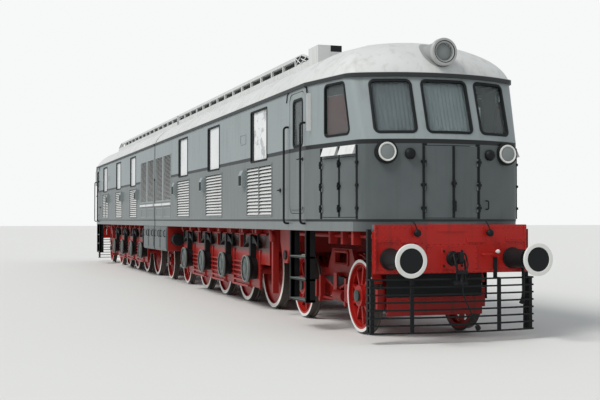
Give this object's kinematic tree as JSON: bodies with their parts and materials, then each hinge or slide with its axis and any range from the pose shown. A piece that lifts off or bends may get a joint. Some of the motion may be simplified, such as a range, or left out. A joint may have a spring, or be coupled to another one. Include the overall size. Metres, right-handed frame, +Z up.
{
  "type": "twin-unit diesel-electric locomotive",
  "caption": "Articulated diesel-electric rail locomotive in two like halves, with cabs at both ends, spoked carrying wheels, outside-framed driving wheels, opening doors and swivelling trucks.",
  "frame": {"origin": "middle of the length and width, at the lowest point of the wheel flanges, 28 mm below the rail head", "axes": "+X along the track towards the leading cab, +Y to its left, +Z up"},
  "size_m": [29.25, 3.072, 4.268],
  "materials": {
    "body_blue": "satin paint",
    "roof_silver": "satin paint",
    "frame_red": "gloss paint",
    "wheel_red": "gloss paint",
    "black_iron": "satin paint",
    "lamp_black": "satin paint",
    "inside_paint": "satin paint",
    "engine_grey": "satin paint",
    "glass": "clear"
  },
  "bodies": {
    "half_a": {"underframe_a": "frame_red", "side_walls_a": "body_blue", "cab_front_a": "body_blue", "cab_sides_a": "body_blue", "roof_a": "roof_silver", "inner_fittings_a": "inside_paint", "engine_a": "engine_grey", "window_glass_a": "glass", "grilles_a": "body_blue", "draw_gear_a": "black_iron", "ironwork_a": "black_iron", "lamps_a": "lamp_black", "drive_gear_a": "black_iron"},
    "bogie_truck_a": {"bogie_frame_a": "frame_red"},
    "pony_truck_a": {"pony_frame_a": "frame_red"},
    "bogie_wheels_1_a": {"bogie_wheels_1_a": "wheel_red"},
    "bogie_wheels_2_a": {"bogie_wheels_2_a": "wheel_red"},
    "pony_wheels_a": {"pony_wheels_a": "wheel_red"},
    "driving_wheels_1_a": {"driving_wheels_1_a": "wheel_red"},
    "driving_wheels_2_a": {"driving_wheels_2_a": "wheel_red"},
    "driving_wheels_3_a": {"driving_wheels_3_a": "wheel_red"},
    "driving_wheels_4_a": {"driving_wheels_4_a": "wheel_red"},
    "cab_door_right_a": {"cab_door_right_a": "body_blue"},
    "nose_door_right_a": {"nose_door_right_a": "body_blue"},
    "cabinet_right_1_a": {"cabinet_right_1_a": "body_blue"},
    "cabinet_right_2_a": {"cabinet_right_2_a": "body_blue"},
    "cab_door_left_a": {"cab_door_left_a": "body_blue"},
    "nose_door_left_a": {"nose_door_left_a": "body_blue"},
    "cabinet_left_1_a": {"cabinet_left_1_a": "body_blue"},
    "cabinet_left_2_a": {"cabinet_left_2_a": "body_blue"},
    "half_b": {"underframe_b": "frame_red", "side_walls_b": "body_blue", "cab_front_b": "body_blue", "cab_sides_b": "body_blue", "roof_b": "roof_silver", "inner_fittings_b": "inside_paint", "engine_b": "engine_grey", "window_glass_b": "glass", "grilles_b": "body_blue", "draw_gear_b": "black_iron", "ironwork_b": "black_iron", "lamps_b": "lamp_black", "drive_gear_b": "black_iron"},
    "bogie_truck_b": {"bogie_frame_b": "frame_red"},
    "pony_truck_b": {"pony_frame_b": "frame_red"},
    "bogie_wheels_1_b": {"bogie_wheels_1_b": "wheel_red"},
    "bogie_wheels_2_b": {"bogie_wheels_2_b": "wheel_red"},
    "pony_wheels_b": {"pony_wheels_b": "wheel_red"},
    "driving_wheels_1_b": {"driving_wheels_1_b": "wheel_red"},
    "driving_wheels_2_b": {"driving_wheels_2_b": "wheel_red"},
    "driving_wheels_3_b": {"driving_wheels_3_b": "wheel_red"},
    "driving_wheels_4_b": {"driving_wheels_4_b": "wheel_red"},
    "cab_door_right_b": {"cab_door_right_b": "body_blue"},
    "nose_door_right_b": {"nose_door_right_b": "body_blue"},
    "cabinet_right_1_b": {"cabinet_right_1_b": "body_blue"},
    "cabinet_right_2_b": {"cabinet_right_2_b": "body_blue"},
    "cab_door_left_b": {"cab_door_left_b": "body_blue"},
    "nose_door_left_b": {"nose_door_left_b": "body_blue"},
    "cabinet_left_1_b": {"cabinet_left_1_b": "body_blue"},
    "cabinet_left_2_b": {"cabinet_left_2_b": "body_blue"}
  },
  "joints": [
    {"name": "bogie_swivel_a", "type": "hinge", "parent": "half_a", "child": "bogie_truck_a", "pos_m": [11.5, 0, 0.95], "axis": [0, 0, 1], "range_deg": [-5, 5]},
    {"name": "pony_swivel_a", "type": "hinge", "parent": "half_a", "child": "pony_truck_a", "pos_m": [2.25, 0, 0.95], "axis": [0, 0, 1], "range_deg": [-4, 4]},
    {"name": "bogie_wheels_1_roll_a", "type": "hinge", "parent": "bogie_truck_a", "child": "bogie_wheels_1_a", "pos_m": [12.75, 0, 0.528], "axis": [0, 1, 0], "continuous": true},
    {"name": "bogie_wheels_2_roll_a", "type": "hinge", "parent": "bogie_truck_a", "child": "bogie_wheels_2_a", "pos_m": [10.25, 0, 0.528], "axis": [0, 1, 0], "continuous": true},
    {"name": "pony_wheels_roll_a", "type": "hinge", "parent": "pony_truck_a", "child": "pony_wheels_a", "pos_m": [1.05, 0, 0.528], "axis": [0, 1, 0], "continuous": true},
    {"name": "driving_wheels_1_roll_a", "type": "hinge", "parent": "half_a", "child": "driving_wheels_1_a", "pos_m": [8.5, 0, 0.703], "axis": [0, 1, 0], "continuous": true},
    {"name": "driving_wheels_2_roll_a", "type": "hinge", "parent": "half_a", "child": "driving_wheels_2_a", "pos_m": [6.7, 0, 0.703], "axis": [0, 1, 0], "continuous": true},
    {"name": "driving_wheels_3_roll_a", "type": "hinge", "parent": "half_a", "child": "driving_wheels_3_a", "pos_m": [4.9, 0, 0.703], "axis": [0, 1, 0], "continuous": true},
    {"name": "driving_wheels_4_roll_a", "type": "hinge", "parent": "half_a", "child": "driving_wheels_4_a", "pos_m": [3.1, 0, 0.703], "axis": [0, 1, 0], "continuous": true},
    {"name": "cab_door_right_hinge_a", "type": "hinge", "parent": "half_a", "child": "cab_door_right_a", "pos_m": [11.498, -1.4, 2], "axis": [0, 0, 1], "range_deg": [0, 85]},
    {"name": "nose_door_right_hinge_a", "type": "hinge", "parent": "half_a", "child": "nose_door_right_a", "pos_m": [13.9342, -0.377, 2], "axis": [0, 0, -1], "range_deg": [0, 100]},
    {"name": "cabinet_right_1_hinge_a", "type": "hinge", "parent": "half_a", "child": "cabinet_right_1_a", "pos_m": [12.698, -1.3504, 2], "axis": [0, 0, -1], "range_deg": [0, 100]},
    {"name": "cabinet_right_2_hinge_a", "type": "hinge", "parent": "half_a", "child": "cabinet_right_2_a", "pos_m": [13.522, -1.1765, 2], "axis": [0, 0, 1], "range_deg": [0, 100]},
    {"name": "cab_door_left_hinge_a", "type": "hinge", "parent": "half_a", "child": "cab_door_left_a", "pos_m": [11.498, 1.4, 2], "axis": [0, 0, -1], "range_deg": [0, 85]},
    {"name": "nose_door_left_hinge_a", "type": "hinge", "parent": "half_a", "child": "nose_door_left_a", "pos_m": [13.9342, 0.377, 2], "axis": [0, 0, 1], "range_deg": [0, 100]},
    {"name": "cabinet_left_1_hinge_a", "type": "hinge", "parent": "half_a", "child": "cabinet_left_1_a", "pos_m": [12.698, 1.3504, 2], "axis": [0, 0, 1], "range_deg": [0, 100]},
    {"name": "cabinet_left_2_hinge_a", "type": "hinge", "parent": "half_a", "child": "cabinet_left_2_a", "pos_m": [13.522, 1.1765, 2], "axis": [0, 0, -1], "range_deg": [0, 100]},
    {"name": "centre_hinge", "type": "hinge", "parent": "half_a", "child": "half_b", "pos_m": [0, 0, 1.175], "axis": [0, 0, 1], "range_deg": [-3, 3]},
    {"name": "bogie_swivel_b", "type": "hinge", "parent": "half_b", "child": "bogie_truck_b", "pos_m": [-11.5, 0, 0.95], "axis": [0, 0, 1], "range_deg": [-5, 5]},
    {"name": "pony_swivel_b", "type": "hinge", "parent": "half_b", "child": "pony_truck_b", "pos_m": [-2.25, 0, 0.95], "axis": [0, 0, 1], "range_deg": [-4, 4]},
    {"name": "bogie_wheels_1_roll_b", "type": "hinge", "parent": "bogie_truck_b", "child": "bogie_wheels_1_b", "pos_m": [-12.75, 0, 0.528], "axis": [0, 1, 0], "continuous": true},
    {"name": "bogie_wheels_2_roll_b", "type": "hinge", "parent": "bogie_truck_b", "child": "bogie_wheels_2_b", "pos_m": [-10.25, 0, 0.528], "axis": [0, 1, 0], "continuous": true},
    {"name": "pony_wheels_roll_b", "type": "hinge", "parent": "pony_truck_b", "child": "pony_wheels_b", "pos_m": [-1.05, 0, 0.528], "axis": [0, 1, 0], "continuous": true},
    {"name": "driving_wheels_1_roll_b", "type": "hinge", "parent": "half_b", "child": "driving_wheels_1_b", "pos_m": [-8.5, 0, 0.703], "axis": [0, 1, 0], "continuous": true},
    {"name": "driving_wheels_2_roll_b", "type": "hinge", "parent": "half_b", "child": "driving_wheels_2_b", "pos_m": [-6.7, 0, 0.703], "axis": [0, 1, 0], "continuous": true},
    {"name": "driving_wheels_3_roll_b", "type": "hinge", "parent": "half_b", "child": "driving_wheels_3_b", "pos_m": [-4.9, 0, 0.703], "axis": [0, 1, 0], "continuous": true},
    {"name": "driving_wheels_4_roll_b", "type": "hinge", "parent": "half_b", "child": "driving_wheels_4_b", "pos_m": [-3.1, 0, 0.703], "axis": [0, 1, 0], "continuous": true},
    {"name": "cab_door_right_hinge_b", "type": "hinge", "parent": "half_b", "child": "cab_door_right_b", "pos_m": [-11.498, 1.4, 2], "axis": [0, 0, 1], "range_deg": [0, 85]},
    {"name": "nose_door_right_hinge_b", "type": "hinge", "parent": "half_b", "child": "nose_door_right_b", "pos_m": [-13.9342, 0.377, 2], "axis": [0, 0, -1], "range_deg": [0, 100]},
    {"name": "cabinet_right_1_hinge_b", "type": "hinge", "parent": "half_b", "child": "cabinet_right_1_b", "pos_m": [-12.698, 1.3504, 2], "axis": [0, 0, -1], "range_deg": [0, 100]},
    {"name": "cabinet_right_2_hinge_b", "type": "hinge", "parent": "half_b", "child": "cabinet_right_2_b", "pos_m": [-13.522, 1.1765, 2], "axis": [0, 0, 1], "range_deg": [0, 100]},
    {"name": "cab_door_left_hinge_b", "type": "hinge", "parent": "half_b", "child": "cab_door_left_b", "pos_m": [-11.498, -1.4, 2], "axis": [0, 0, -1], "range_deg": [0, 85]},
    {"name": "nose_door_left_hinge_b", "type": "hinge", "parent": "half_b", "child": "nose_door_left_b", "pos_m": [-13.9342, -0.377, 2], "axis": [0, 0, 1], "range_deg": [0, 100]},
    {"name": "cabinet_left_1_hinge_b", "type": "hinge", "parent": "half_b", "child": "cabinet_left_1_b", "pos_m": [-12.698, -1.3504, 2], "axis": [0, 0, 1], "range_deg": [0, 100]},
    {"name": "cabinet_left_2_hinge_b", "type": "hinge", "parent": "half_b", "child": "cabinet_left_2_b", "pos_m": [-13.522, -1.1765, 2], "axis": [0, 0, -1], "range_deg": [0, 100]}
  ]
}
